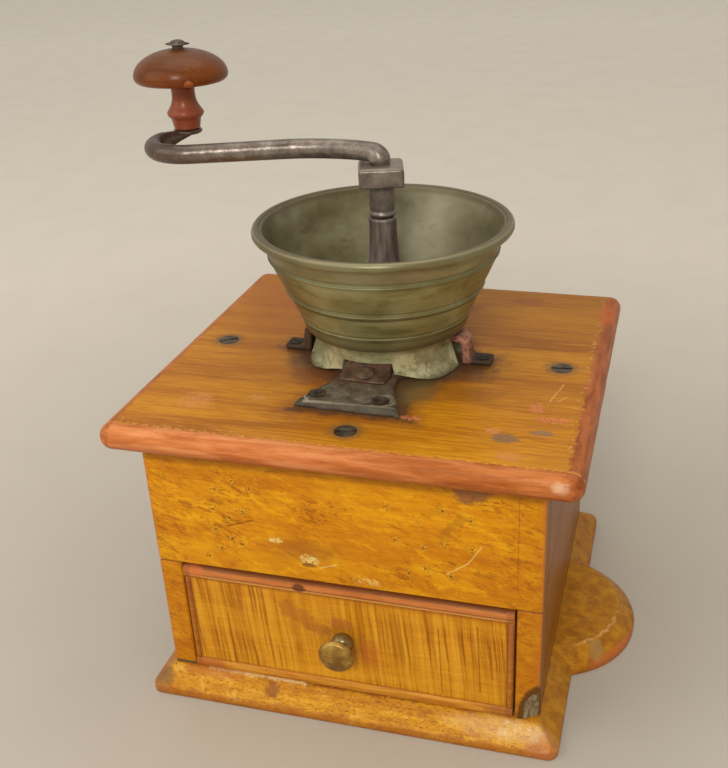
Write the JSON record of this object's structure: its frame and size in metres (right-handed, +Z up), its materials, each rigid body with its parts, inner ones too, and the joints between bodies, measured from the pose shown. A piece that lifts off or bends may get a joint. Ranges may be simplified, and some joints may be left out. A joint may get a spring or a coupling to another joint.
{
  "type": "box coffee grinder",
  "caption": "Hand coffee grinder: wooden box with drawer, pewter hopper and S-bent iron crank that turns a cone burr in a fixed ring.",
  "frame": {"origin": "on the table, under the axis of the grinder's shaft", "axes": "+X to the right of the drawer, +Y to the back, +Z up"},
  "size_m": [0.226, 0.179, 0.2633],
  "materials": {
    "top_wood": "aged shellac over maple, worn at the edges",
    "front_wood": "aged glossy shellac over bird's-eye maple",
    "side_wood": "aged glossy shellac over plain maple",
    "base_wood": "aged shellac over maple, edges rubbed",
    "drawer_wood": "aged glossy shellac over curly maple",
    "bead_wood": "red-brown stained bead under shellac",
    "inside_wood": "bare wood inside the drawer, rubbed smooth",
    "knob_wood": "red-brown hardwood polished by hand",
    "pewter": "turned pewter with olive-grey patina",
    "plate_iron": "dark iron with worn edges",
    "bridge_iron": "dark iron with red-brown rust",
    "crank_iron": "forged iron, dark and hand-polished",
    "shaft_iron": "turned iron, oiled",
    "burr_iron": "cut and hardened iron burr",
    "screw_iron": "old slotted iron screws",
    "brass": "dull old brass, bright on its edge"
  },
  "bodies": {
    "case": {"base_board": "base_wood", "base_screws": "screw_iron", "left_side_board": "side_wood", "right_side_board": "side_wood", "back_board": "side_wood", "upper_front_board": "front_wood", "left_post": "front_wood", "right_post": "front_wood", "top_board": "top_wood", "top_board_screws": "screw_iron", "mill_plate": "plate_iron", "plate_screws": "screw_iron", "bearing_bridge": "bridge_iron", "bridge_rivets": "bridge_iron", "bridge_foot_screws": "screw_iron", "hopper": "pewter", "burr_ring": "burr_iron", "footstep_strap": "plate_iron", "strap_screws": "screw_iron"},
    "footstep": {"thrust_pad": "shaft_iron"},
    "crank": {"shaft": "shaft_iron", "burr_cone": "burr_iron", "cone_pin": "shaft_iron", "crank_head": "crank_iron", "crank_arm": "crank_iron", "knob_pin": "crank_iron", "knob_washer": "screw_iron"},
    "knob": {"knob": "knob_wood"},
    "adjuster": {"adjusting_screw": "shaft_iron"},
    "drawer": {"drawer_front": "drawer_wood", "drawer_beads": "bead_wood", "drawer_left_side": "inside_wood", "drawer_right_side": "inside_wood", "drawer_back": "inside_wood", "drawer_bottom": "inside_wood", "drawer_nails": "screw_iron", "drawer_pull": "brass", "pull_nut": "brass"}
  },
  "joints": [
    {"name": "drawer_slide", "type": "slide", "parent": "case", "child": "drawer", "axis": [0, -1, 0], "range_m": [0, 0.115]},
    {"name": "grind_adjust", "type": "slide", "parent": "case", "child": "footstep", "axis": [0, 0, 1], "range_m": [0, 0.001]},
    {"name": "crank_spin", "type": "hinge", "parent": "footstep", "child": "crank", "pos_m": [0, 0, 0.15], "axis": [0, 0, 1], "continuous": true},
    {"name": "knob_spin", "type": "hinge", "parent": "crank", "child": "knob", "pos_m": [-0.091, 0.0155, 0.24], "axis": [0, 0, 1], "continuous": true},
    {"name": "screw_turn", "type": "hinge", "parent": "footstep", "child": "adjuster", "pos_m": [0, 0, 0.08], "axis": [0, 0, 1], "range_deg": [0, 300]}
  ],
  "couplings": [
    {"joint": "screw_turn", "follows": "grind_adjust", "rad_per_m": 5026.5}
  ]
}
